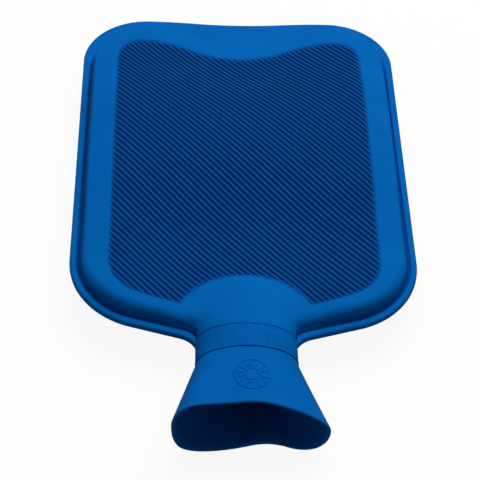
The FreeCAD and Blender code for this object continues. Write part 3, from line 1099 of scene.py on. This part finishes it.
@dataclass
class NeckAndFunnel:
    """The band's core, the flared funnel with its uneven lip, and the way in to the bush."""

    band_end_y: float = -125.0
    band_step: float = 0.6
    core_overlap: float = 1.0
    core_inset: float = 0.5
    core_steps: int = 5
    groove_width: float = 0.9
    groove_depth: float = 0.5
    groove_round: float = 0.1
    groove_step: float = 0.3
    # Painted shade on the floor of the groove before the band.
    groove_painted_shade: float = 0.5
    funnel_start: float = 1.5
    funnel_steps: int = 34
    lip_wall: float = 1.8
    lip_steps: int = 12
    # Painted shade inside the funnel past the lip, and how far in it grows to full.
    inner_painted_shade: float = 0.5
    inner_shade_reach: float = 5.0
    inner_closing: float = 1.5
    inner_steps: int = 30
    bush_seat_radius: float = BUSH_RADIUS - 0.6
    bush_pocket_radius: float = BUSH_RADIUS + 0.15
    count: int = 192
    lip: tuple[tuple[float, float], ...] = (
        (44.0, -4.0), (42.8, 1.2), (39.0, 5.6), (32.5, 10.8), (24.5, 15.7), (15.5, 20.0), (7.0, 22.9),
        (0.0, 23.2), (-9.0, 22.1), (-19.0, 20.8), (-27.0, 19.8), (-33.0, 17.4), (-37.6, 12.2), (-40.7, 4.5),
        (-40.8, -4.0), (-39.6, -11.7), (-36.0, -18.4), (-29.5, -21.2), (-20.5, -21.5), (-11.0, -20.1),
        (-2.5, -17.8), (5.0, -15.3), (11.5, -14.6), (18.5, -15.8), (25.3, -18.6), (31.8, -19.4),
        (37.8, -17.5), (42.2, -12.3))

    def angles(self) -> Array:
        """Angles of the points round a section."""
        return np.linspace(0.0, 2 * math.pi, self.count, endpoint=False)

    def neck_reach(self) -> Array:
        """Radius of the neck's oval at each angle."""
        angle = self.angles()
        return 1.0 / np.hypot(np.cos(angle) / NECK_HALF_WIDTH, np.sin(angle) / NECK_HALF_HEIGHT)

    def lip_reach(self) -> Array:
        """Radius of the lip, on a smooth closed curve through its control points.

        Returns:
            Radius at each angle.
        """
        curve = closed_curve(np.array(self.lip), self.lip_steps)
        angle = np.arctan2(curve[:, 1], curve[:, 0]) % (2 * math.pi)
        order = np.argsort(angle)
        reach = np.hypot(*curve.T)
        return np.interp(self.angles(), angle[order], reach[order], period=2 * math.pi)

    def ring(self, reach: Array, y: float) -> Array:
        """Points of one section.

        Args:
            reach: Radius at each angle.
            y: Place along the neck.

        Returns:
            Its points.
        """
        angle = self.angles()
        ring = [reach * np.cos(angle), np.full_like(angle, y), NECK_AXIS_Z + reach * np.sin(angle)]
        return np.stack(ring, 1)

    def funnel_reach(self, y: float) -> Array:
        """Outer radius of the funnel at a place along it.

        Args:
            y: The place.

        Returns:
            Radius at each angle.
        """
        share = max((self.band_end_y - y) / (self.band_end_y - MOUTH_Y), 0.0)
        return self.neck_reach() * (1 - share) + self.lip_reach() * share

    def inner_reach(self, y: float) -> Array:
        """Inner radius of the funnel at a place along it.

        Args:
            y: The place.

        Returns:
            Radius at each angle.
        """
        share = np.clip((BUSH_FACE_Y - y) / (BUSH_FACE_Y - MOUTH_Y), 0.0, 1.0)
        closing = (1 - share) ** self.inner_closing
        return (self.funnel_reach(y) - self.lip_wall) * (1 - closing) + self.bush_seat_radius * closing

    def core_sections(self) -> list[tuple[Array, float, float]]:
        """Sections from the bush's pocket over the groove to the band's end.

        Returns:
            Radius at each angle, place along the neck and how much painted shade it carries, for each
            section.
        """
        neck = self.neck_reach()
        floor = neck - self.groove_depth
        start = NECK_START_Y + self.core_overlap
        end = NECK_START_Y - self.groove_width
        sections = [(np.full(self.count, self.bush_pocket_radius), start, 0.0),
                    (floor, start, 0.0),
                    # The groove's floor carries painted shade.
                    (floor, NECK_START_Y - self.groove_round, self.groove_painted_shade),
                    (floor, end, self.groove_painted_shade),
                    (floor + self.groove_step, end - self.groove_round, 0.0)]
        for y in np.linspace(end - self.core_inset, self.band_end_y + self.core_inset, self.core_steps):
            sections.append((neck, y, 0.0))
        return sections

    def funnel_sections(self) -> list[tuple[Array, float, float]]:
        """Sections from the band's end round the lip and back in to the bush's pocket.

        Returns:
            Radius at each angle, place along the neck and how much painted shade it carries, for each
            section.
        """
        sections = []
        # Painted shade on the funnel just past the band's step.
        for past, dark in ((-0.25, 0.0), (0.05, 0.25), (0.4, 0.12), (0.9, 0.0)):
            y = self.band_end_y - past
            sections.append((self.funnel_reach(y), y, dark))
        half_wall = self.lip_wall / 2
        lip_y = MOUTH_Y + half_wall
        for y in np.linspace(self.band_end_y - self.funnel_start, lip_y, self.funnel_steps):
            sections.append((self.funnel_reach(y), y, 0.0))
        for angle in np.radians((22, 45, 68, 90, 112, 135, 158)):
            y = MOUTH_Y + half_wall * (1 - math.sin(angle))
            sections.append((self.funnel_reach(y) - half_wall * (1 - math.cos(angle)), y, 0.0))
        for y in np.linspace(lip_y, BUSH_FACE_Y, self.inner_steps):
            # Painted shade inside the mouth, growing over the first few millimetres past the lip.
            dark = self.inner_painted_shade * min((y - MOUTH_Y) / self.inner_shade_reach, 1.0)
            sections.append((self.inner_reach(y), y, dark))
        pocket = np.full(self.count, self.bush_pocket_radius)
        for y in (BUSH_FACE_Y, NECK_START_Y + self.core_overlap):
            sections.append((pocket, y, 0.0))
        return sections

    def add_to(self, shell: Shell) -> None:
        """Add the band's core and the funnel's closed skin to a shell.

        Args:
            shell: Where they go.
        """
        sections = self.core_sections() + self.funnel_sections()
        grid = np.stack([self.ring(reach, y) for reach, y, _ in sections])
        # Each section's painted shade goes to its points.
        shade_per_section = np.array([dark for _, _, dark in sections])
        shell.add_grid(grid, closed=True, recess=np.broadcast_to(shade_per_section[:, None], grid.shape[:2]))

    def top_height(self, points: Array) -> Array:
        """Height of the funnel's upper skin.

        Args:
            points: Plan points on the funnel.

        Returns:
            One height for each point.
        """
        heights = []
        for x, y in points:
            ring = self.ring(self.funnel_reach(y), y)
            upper = ring[ring[:, 2] >= NECK_AXIS_Z]
            upper = upper[np.argsort(upper[:, 0])]
            heights.append(np.interp(x, upper[:, 0], upper[:, 2]))
        return np.array(heights)


@dataclass
class Skin:
    """The bottle's rubber skin, dressed as one piece."""

    bladder: Bladder = field(default_factory=Bladder)
    neck: NeckAndFunnel = field(default_factory=NeckAndFunnel)

    def build(self, material: bpy.types.Material) -> bpy.types.Object:
        """Make the skin and let it stand for the bottle's body.

        Args:
            material: Its finish.

        Returns:
            The skin.
        """
        shell = Shell()
        self.bladder.add_to(shell)
        self.neck.add_to(shell)
        piece = shell.build("rubber_skin")
        piece.data.materials.append(material)
        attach(piece, "bottle")
        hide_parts("bottle_body")
        return piece


@dataclass
class GrainedBand:
    """Raised band round the neck with a pebbled grain and a plain bead along its near edge."""

    neck: NeckAndFunnel = field(default_factory=lambda: NeckAndFunnel(count=384))
    spacing: float = 0.33
    depth: float = 0.08
    # Painted shade in the grain's pits.
    dark: float = 0.3
    bead_width: float = 1.1
    bead_rise: float = 0.16
    bead_ease: float = 0.5
    start_ease: float = 0.6
    end_ease: float = 0.4
    edge_share: float = 0.25
    # Painted shade at the band's two ends, where it steps.
    edge_painted_shade: float = 0.25
    core: float = 0.8
    seed: int = 7

    def grain(self, rows: int) -> Array:
        """Pebbled heights on a grid that closes round the band.

        Args:
            rows: Rows along the band.

        Returns:
            Heights from 0 to 1.
        """
        heights = np.random.default_rng(self.seed).random((rows, self.neck.count))
        heights = (heights + np.roll(heights, 1, 1) + np.roll(heights, -1, 1)) / 3.0
        padded = np.pad(heights, ((1, 1), (0, 0)), "edge")
        heights = (padded[:-2] + padded[1:-1] + padded[2:]) / 3.0
        low, high = np.quantile(heights, (0.04, 0.96))
        return np.clip((heights - low) / (high - low), 0.0, 1.0)

    def build(self, material: bpy.types.Material) -> bpy.types.Object:
        """Make the band as a closed sleeve.

        Args:
            material: Its finish.

        Returns:
            The band.
        """
        neck = self.neck
        start = NECK_START_Y - neck.groove_width
        rows = int((start - neck.band_end_y) / self.spacing)
        along = np.linspace(start, neck.band_end_y, rows)
        bead = smooth((neck.band_end_y + self.bead_width - along) / self.bead_ease)
        ends = smooth((start - along) / self.start_ease) * smooth((along - neck.band_end_y) / self.end_ease)
        reach = neck.neck_reach()
        inner = neck.ring(reach - self.core, 0.0)
        bare = np.zeros(neck.count)
        rings = [inner + (0.0, start, 0.0)]
        marks = [bare]
        for y, pebbles, lift, edge in zip(along, self.grain(rows), bead, ends):
            step = neck.band_step * (self.edge_share + (1 - self.edge_share) * edge)
            rise = step + self.bead_rise * lift - self.depth * pebbles * (1 - lift) * edge
            rings.append(neck.ring(reach + rise, y))
            # Painted shade in the grain's pits and at the band's ends.
            marks.append(pebbles * (1 - lift) * self.dark + self.edge_painted_shade * (1 - edge))
        rings += [inner + (0.0, neck.band_end_y, 0.0), rings[0]]
        marks += [bare, bare]
        shell = Shell()
        shell.add_grid(np.stack(rings), closed=True, recess=np.stack(marks))
        piece = shell.build("neck_band")
        piece.data.materials.append(material)
        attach(piece, "bottle")
        return piece


@dataclass
class DateWheel:
    """Moulded wheel on the funnel: two rings, spokes and dots, with a bare hub."""

    neck: NeckAndFunnel = field(default_factory=NeckAndFunnel)
    centre: tuple[float, float] = (1.4, -146.6)
    stretch: float = 1.16
    ring_radius: float = 9.4
    hub_radius: float = 3.6
    ring_steps: int = 72
    spokes: int = 14
    spoke_steps: int = 8
    bead: float = 0.4
    spoke_share: float = 0.8
    dot_share: float = 1.2
    dot_place: float = 0.7
    dot_half_length: float = 0.3
    dot_every: int = 3
    sunk: float = 0.02
    sides: int = 8

    def path(self, plan: Array) -> Array:
        """Lay plan points on the funnel."""
        return np.column_stack([plan, self.neck.top_height(plan) - self.sunk])

    def add_bead(self, shell: Shell, path: Array, closed: bool, width: float) -> None:
        """Add a round bead along a path.

        Args:
            shell: Where it goes.
            path: Points of its middle line.
            closed: Whether the path closes on itself.
            width: Radius of the bead.
        """
        ahead = np.roll(path, -1, 0) - np.roll(path, 1, 0) if closed else np.gradient(path, axis=0)
        ahead /= np.linalg.norm(ahead, axis=1)[:, None]
        side = np.cross(ahead, (0.0, 0.0, 1.0))
        side /= np.linalg.norm(side, axis=1)[:, None]
        over = np.cross(side, ahead)
        turn = np.linspace(0.0, 2 * math.pi, self.sides, endpoint=False)[:, None]
        grid = path[:, None] + width * (side[:, None] * np.cos(turn) + over[:, None] * np.sin(turn))
        if closed:
            grid = np.concatenate([grid, grid[:1]])
        first = shell.add_grid(grid, closed=True)
        if not closed:
            shell.add_fan(first, self.sides, path[0])
            shell.add_fan(first + (len(path) - 1) * self.sides, self.sides, path[-1])

    def build(self, material: bpy.types.Material) -> bpy.types.Object:
        """Make the wheel.

        Args:
            material: Its finish.

        Returns:
            The wheel.
        """
        shell = Shell()
        centre = np.array(self.centre)
        turn = np.linspace(0.0, 2 * math.pi, self.ring_steps, endpoint=False)
        circle = np.stack([np.cos(turn), self.stretch * np.sin(turn)], 1)
        for radius in (self.ring_radius, self.hub_radius):
            self.add_bead(shell, self.path(centre + radius * circle), True, self.bead)
        reach = np.linspace(self.hub_radius, self.ring_radius, self.spoke_steps)[:, None]
        length = np.linspace(-self.dot_half_length, self.dot_half_length, 4)[:, None]
        for index in range(self.spokes):
            angle = 2 * math.pi * (index + 0.5) / self.spokes
            way = np.array((math.cos(angle), self.stretch * math.sin(angle)))
            self.add_bead(shell, self.path(centre + way * reach), False, self.bead * self.spoke_share)
            if index % self.dot_every == 0:
                angle += math.pi / self.spokes
                gap = np.array((math.cos(angle), math.sin(angle)))
                dot = centre + self.dot_place * self.ring_radius * gap + length * way
                self.add_bead(shell, self.path(dot), False, self.bead * self.dot_share)
        piece = shell.build("date_wheel")
        piece.data.materials.append(material)
        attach(piece, "bottle")
        return piece


class BeadTree:
    """Geometry node tree that lays rounded beads along lines on a skin."""

    def __init__(self) -> None:
        """Build the tree with its named inputs."""
        self.group = bpy.data.node_groups.new("moulded_ribs", "GeometryNodeTree")
        interface = self.group.interface
        interface.new_socket("Geometry", in_out="OUTPUT", socket_type="NodeSocketGeometry")
        self.inputs = {
            name: interface.new_socket(name, in_out="INPUT", socket_type=kind).identifier
            for name, kind in (("Skin", "NodeSocketObject"), ("Field", "NodeSocketObject"),
                               ("Rib count", "NodeSocketInt"), ("Pitch", "NodeSocketFloat"),
                               ("Angle", "NodeSocketVector"), ("Centre", "NodeSocketVector"),
                               ("Step count", "NodeSocketInt"), ("Step", "NodeSocketFloat"),
                               ("Profile scale", "NodeSocketVector"), ("Profile sink", "NodeSocketVector"),
                               ("Sink share", "NodeSocketFloat"), ("Finish", "NodeSocketMaterial"))}
        self.entry = self.group.nodes.new("NodeGroupInput")
        self.downwards = {"Ray Direction": (0.0, 0.0, -1.0), "Ray Length": 1.0}
        self._lay()

    def node(self, kind: str, settings: dict[str, Any], sockets: dict[Any, Any], output: Any = 0) -> Any:
        """Add a node.

        Args:
            kind: The node's type.
            settings: Properties, set before the sockets.
            sockets: Values or output sockets for its inputs.
            output: The output to hand on.

        Returns:
            The output socket.
        """
        return add_node(self.group, kind, settings, sockets).outputs[output]

    def given(self, name: str) -> Any:
        """Output socket of one of the tree's inputs."""
        return self.entry.outputs[name]

    def maths(self, operation: str, first: Any, second: Any) -> Any:
        """Math node on two values."""
        return self.node("ShaderNodeMath", {"operation": operation}, {0: first, 1: second})

    def vector(self, x: Any = 0.0, y: Any = 0.0, z: Any = 0.0) -> Any:
        """Vector from three values."""
        return self.node("ShaderNodeCombineXYZ", {}, {0: x, 1: y, 2: z})

    def spread(self, count: Any, step: Any, across: bool) -> Any:
        """Line of points in even steps, centred on the origin.

        Args:
            count: Number of points.
            step: Distance between them.
            across: Whether it runs along Y, not X.

        Returns:
            Its geometry socket.
        """
        length = self.maths("MULTIPLY", self.maths("SUBTRACT", count, 1.0), step)
        half = self.maths("MULTIPLY", length, -0.5)
        start = self.vector(y=half) if across else self.vector(x=half)
        offset = self.vector(y=step) if across else self.vector(x=step)
        sockets = {"Count": count, "Start Location": start, "Offset": offset}
        return self.node("GeometryNodeMeshLine", {"mode": "OFFSET"}, sockets)

    def shape_of(self, name: str) -> Any:
        """Geometry of one of the tree's objects, where it stands."""
        return self.node("GeometryNodeObjectInfo", {"transform_space": "RELATIVE"},
                         {"Object": self.given(name)}, "Geometry")

    def _lines(self) -> Any:
        """Turned lines in even steps, cut to the field below them.

        Returns:
            Their geometry socket.
        """
        lines = self.spread(self.given("Rib count"), self.given("Pitch"), True)
        one = self.spread(self.given("Step count"), self.given("Step"), False)
        ribs = self.node("GeometryNodeInstanceOnPoints", {}, {"Points": lines, "Instance": one})
        ribs = self.node("GeometryNodeRealizeInstances", {}, {"Geometry": ribs})
        angle = self.node("FunctionNodeEulerToRotation", {}, {0: self.given("Angle")})
        ribs = self.node("GeometryNodeTransform", {},
                         {"Geometry": ribs, "Rotation": angle, "Translation": self.given("Centre")})
        target = {"Target Geometry": self.shape_of("Field"), **self.downwards}
        hit = self.node("GeometryNodeRaycast", {}, target)
        missed = self.node("FunctionNodeBooleanMath", {"operation": "NOT"}, {0: hit})
        return self.node("GeometryNodeDeleteGeometry", {}, {"Geometry": ribs, "Selection": missed})

    def _lay(self) -> None:
        """Drop the lines onto the skin, sunk into its margin, and give them their section."""
        ribs = self._lines()
        rise = self.node("GeometryNodeInputNamedAttribute", {"data_type": "FLOAT"}, {"Name": "rise"},
                         "Attribute")
        skin = {"Target Geometry": self.shape_of("Skin"), "Attribute": rise, **self.downwards}
        hit = add_node(self.group, "GeometryNodeRaycast", {}, skin).outputs
        sink = self.maths("MULTIPLY", hit["Attribute"], self.given("Sink share"))
        level = self.node("ShaderNodeVectorMath", {"operation": "SUBTRACT"},
                          {0: hit["Hit Position"], 1: self.vector(z=sink)})
        ribs = self.node("GeometryNodeSetPosition", {}, {"Geometry": ribs, "Position": level})
        curves = self.node("GeometryNodeMeshToCurve", {}, {"Mesh": ribs})
        curves = self.node("GeometryNodeSetCurveNormal", {"mode": "Z_UP"}, {"Curve": curves})
        circle = self.node("GeometryNodeCurvePrimitiveCircle", {"mode": "RADIUS"},
                           {"Resolution": 8, "Radius": 1.0})
        section = self.node("GeometryNodeTransform", {},
                            {"Geometry": circle, "Scale": self.given("Profile scale"),
                             "Translation": self.given("Profile sink")})
        beads = self.node("GeometryNodeCurveToMesh", {},
                          {"Curve": curves, "Profile Curve": section, "Fill Caps": True})
        beads = self.node("GeometryNodeSetShadeSmooth", {}, {"Geometry": beads})
        beads = self.node("GeometryNodeRealizeInstances", {}, {"Geometry": beads})
        beads = self.node("GeometryNodeSetMaterial", {},
                          {"Geometry": beads, "Material": self.given("Finish")})
        add_node(self.group, "NodeGroupOutput", {}, {0: beads})


@dataclass
class PanelRibs:
    """Diagonal ribs of the front panel."""

    pitch: float = 3.05
    angle: float = -48.4
    centre: tuple[float, float] = (-0.55, 18.55)
    count: int = 88
    step: float = 2.6
    step_count: int = 116
    half_width: float = 0.74
    height: float = 1.05
    sink: float = 0.1
    overrun: float = 2.4
    sink_share: float = 1.35
    border_z: float = 80.0
    lines_z: float = 100.0
    rib_field: RibField = field(default_factory=RibField)

    def border(self) -> bpy.types.Object:
        """Flat face of the field, for cutting the ribs to length.

        Returns:
            Its object, which goes once the ribs are made.
        """
        polygon = self.rib_field.polygon(self.overrun)
        mesh = bpy.data.meshes.new("rib_border")
        level = np.column_stack([polygon, np.full(len(polygon), self.border_z)]) * MM
        mesh.from_pydata(level.tolist(), [], [tuple(range(len(level)))])
        return place("rib_border", mesh)

    def build(self, skin: bpy.types.Object, tree: BeadTree, material: bpy.types.Material) -> bpy.types.Object:
        """Lay the ribs on the skin.

        Args:
            skin: The bottle's skin.
            tree: The tree that lays them.
            material: Their finish.

        Returns:
            The ribs as one plain mesh.
        """
        border = self.border()
        carrier = place("rib_carrier", bpy.data.meshes.new("rib_carrier"))
        modifier = carrier.modifiers.new("ribs", "NODES")
        modifier.node_group = tree.group
        settings = {
            "Skin": skin, "Field": border, "Rib count": self.count, "Pitch": self.pitch * MM,
            "Angle": (0.0, 0.0, math.radians(self.angle)),
            "Centre": tuple(place * MM for place in (*self.centre, self.lines_z)),
            "Step count": self.step_count, "Step": self.step * MM,
            "Profile scale": (self.half_width * MM, self.height * MM, 1.0),
            "Profile sink": (0.0, -self.sink * MM, 0.0), "Sink share": self.sink_share * MM,
            "Finish": material}
        for name, setting in settings.items():
            modifier[tree.inputs[name]] = setting
        bpy.context.view_layer.update()
        graph = bpy.context.evaluated_depsgraph_get()
        mesh = bpy.data.meshes.new_from_object(carrier.evaluated_get(graph))
        for helper in (carrier, border):
            bpy.data.objects.remove(helper, do_unlink=True)
        clean(mesh)
        piece = place("panel_ribs", mesh)
        mesh.name = "panel_ribs"
        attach(piece, "bottle")
        return piece


@dataclass
class StopperSet:
    """Finishes of the hidden hard parts in the neck."""

    bush: DarkMoulding = DarkMoulding("bush_plastic_finish", (46, 47, 52), (60, 61, 66), 0.45)
    washer: DarkMoulding = DarkMoulding("washer_rubber_finish", (26, 26, 28), (38, 38, 40), 0.7)
    stopper: DarkMoulding = DarkMoulding("stopper_plastic_finish", (38, 40, 44), (52, 54, 58), 0.4)

    def dress(self) -> None:
        """Give each part its finish."""
        finishes = {"threaded_bush": self.bush, "stopper_washer": self.washer, "stopper": self.stopper}
        for node, finish in finishes.items():
            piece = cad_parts[node]
            material = finish.material()
            if piece.material_slots:
                for slot in piece.material_slots:
                    slot.material = material
            else:
                piece.data.materials.append(material)
            LOG.info("dressed %s", node)


@dataclass
class Studio:
    """Pale floor, soft light and the camera at the photograph's angle."""

    target: tuple[float, float, float] = (-1.8, -29.8, 20.0)
    azimuth: float = -3.57
    elevation: float = 46.7
    roll: float = 3.36
    distance: float = 933.0
    lens: float = 119.85
    sensor_width: float = 36.0
    lamp_place: tuple[float, float, float] = (0.24, 0.62, 1.4)
    lamp_size: float = 1.3
    lamp_power: float = 28.3
    fill: float = 0.2
    floor_half: float = 3.0
    floor_grey: float = 0.35
    floor_glow: float = 1.12
    floor_glow_share: float = 0.82

    def build(self) -> None:
        """Make the floor, the lights, the world and the camera."""
        self._floor()
        self._world()
        self._lamp()
        self._camera()
        bpy.context.scene.view_settings.view_transform = "Standard"

    def _floor(self) -> None:
        """Pale level floor that looks white to the camera and keeps a soft shadow."""
        book = ShaderBook("pale_floor")
        seen = book.node("ShaderNodeLightPath", {}, {}, "Is Camera Ray")
        grey = (self.floor_grey, self.floor_grey, self.floor_grey, 1.0)
        matt = book.node("ShaderNodeBsdfDiffuse", {}, {"Color": grey})
        glow = book.node("ShaderNodeEmission", {}, {"Color": WHITE, "Strength": self.floor_glow})
        both = book.node("ShaderNodeMixShader", {}, {0: seen * self.floor_glow_share, 1: matt, 2: glow})
        half = self.floor_half
        corners = [(-half, -half, 0), (half, -half, 0), (half, half, 0), (-half, half, 0)]
        mesh = bpy.data.meshes.new("floor")
        mesh.from_pydata(corners, [], [(0, 1, 2, 3)])
        floor = place("floor", mesh)
        mesh.materials.append(book.surface(both))

    def _world(self) -> None:
        """Even pale fill, white to the camera."""
        world = bpy.data.worlds.new("studio")
        world.use_nodes = True
        tree = world.node_tree
        tree.nodes.clear()
        seen = add_node(tree, "ShaderNodeLightPath", {}, {}).outputs["Is Camera Ray"]
        fill = add_node(tree, "ShaderNodeBackground", {}, {"Color": WHITE, "Strength": self.fill}).outputs[0]
        white = add_node(tree, "ShaderNodeBackground", {}, {"Color": WHITE}).outputs[0]
        both = add_node(tree, "ShaderNodeMixShader", {}, {0: seen, 1: fill, 2: white}).outputs[0]
        add_node(tree, "ShaderNodeOutputWorld", {}, {"Surface": both})
        bpy.context.scene.world = world

    def _lamp(self) -> None:
        """Square soft lamp above the far end, aimed at the origin."""
        data = bpy.data.lights.new("softbox", "AREA")
        data.shape = "SQUARE"
        data.size = self.lamp_size
        data.energy = self.lamp_power
        lamp = bpy.data.objects.new("softbox", data)
        bpy.context.scene.collection.objects.link(lamp)
        lamp.location = self.lamp_place
        lamp.rotation_mode = "QUATERNION"
        lamp.rotation_quaternion = Vector(self.lamp_place).to_track_quat("Z", "Y")

    def _camera(self) -> None:
        """Camera at the photograph's viewing angle, turned by its roll."""
        around, above, roll = (math.radians(angle) for angle in (self.azimuth, self.elevation, self.roll))
        level = math.cos(above)
        back = Vector((math.sin(around) * level, -math.cos(around) * level, math.sin(above)))
        right = Vector((math.cos(around), math.sin(around), 0.0))
        up = back.cross(right)
        turned_right = right * math.cos(roll) + up * math.sin(roll)
        turned_up = up * math.cos(roll) - right * math.sin(roll)
        data = bpy.data.cameras.new("camera")
        data.sensor_width = self.sensor_width
        data.lens = self.lens
        camera = bpy.data.objects.new("camera", data)
        bpy.context.scene.collection.objects.link(camera)
        turn = Matrix((turned_right, turned_up, back)).transposed().to_4x4()
        where = (Vector(self.target) + back * self.distance) * MM
        camera.matrix_world = Matrix.Translation(where) @ turn
        bpy.context.scene.camera = camera


def main() -> None:
    """Build every piece in order."""
    logging.basicConfig(level=logging.INFO)
    rubber = BlueRubber().material()
    skin = Skin().build(rubber)
    LOG.info("skin has %d faces", len(skin.data.polygons))
    band = GrainedBand().build(rubber)
    LOG.info("band has %d faces", len(band.data.polygons))
    wheel = DateWheel().build(rubber)
    LOG.info("date wheel has %d faces", len(wheel.data.polygons))
    # The ribs get a darker copy of the blue rubber: painted shade over the ribbed field.
    shaded_rib_rubber = BlueRubber("rib_rubber_shaded_finish", light=(12, 84, 148), dark=(8, 76, 136), gloss=0.2)
    ribs = PanelRibs().build(skin, BeadTree(), shaded_rib_rubber.material())
    LOG.info("ribs have %d faces", len(ribs.data.polygons))
    StopperSet().dress()
    Studio().build()


if __name__ == "__main__":
    main()
